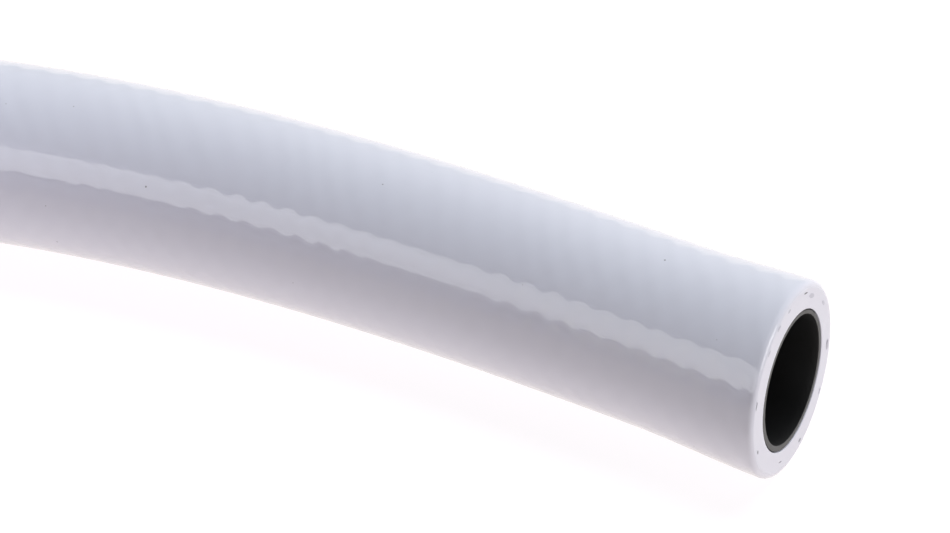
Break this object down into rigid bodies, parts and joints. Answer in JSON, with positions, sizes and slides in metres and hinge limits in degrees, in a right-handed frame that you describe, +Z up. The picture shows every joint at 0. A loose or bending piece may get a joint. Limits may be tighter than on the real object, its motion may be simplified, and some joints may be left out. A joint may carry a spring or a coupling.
{
  "type": "flexible pvc tubing",
  "caption": "Reinforced flexible PVC tubing with a white wall and a thin dark liner, stored as a tied round coil with one cut end led off it.",
  "frame": {"origin": "on the floor, under the middle of the stored coil and its led end taken together", "axes": "+Z up from the floor; +X the way the led end's cut face looks; +Y the longer side of the coil with its led end"},
  "size_m": [0.2692, 0.2876, 0.0857],
  "materials": {
    "white_pvc": "smooth gloss, slightly soft",
    "dark_liner": "smooth satin",
    "nylon_tie": "satin natural nylon"
  },
  "bodies": {
    "root": {"led_end_cover": "white_pvc", "led_end_liner": "dark_liner", "inner_end_cover": "white_pvc", "inner_end_liner": "dark_liner", "wound_turns": "white_pvc", "tie_1": "nylon_tie", "tie_2": "nylon_tie", "tie_3": "nylon_tie"}
  },
  "joints": []
}
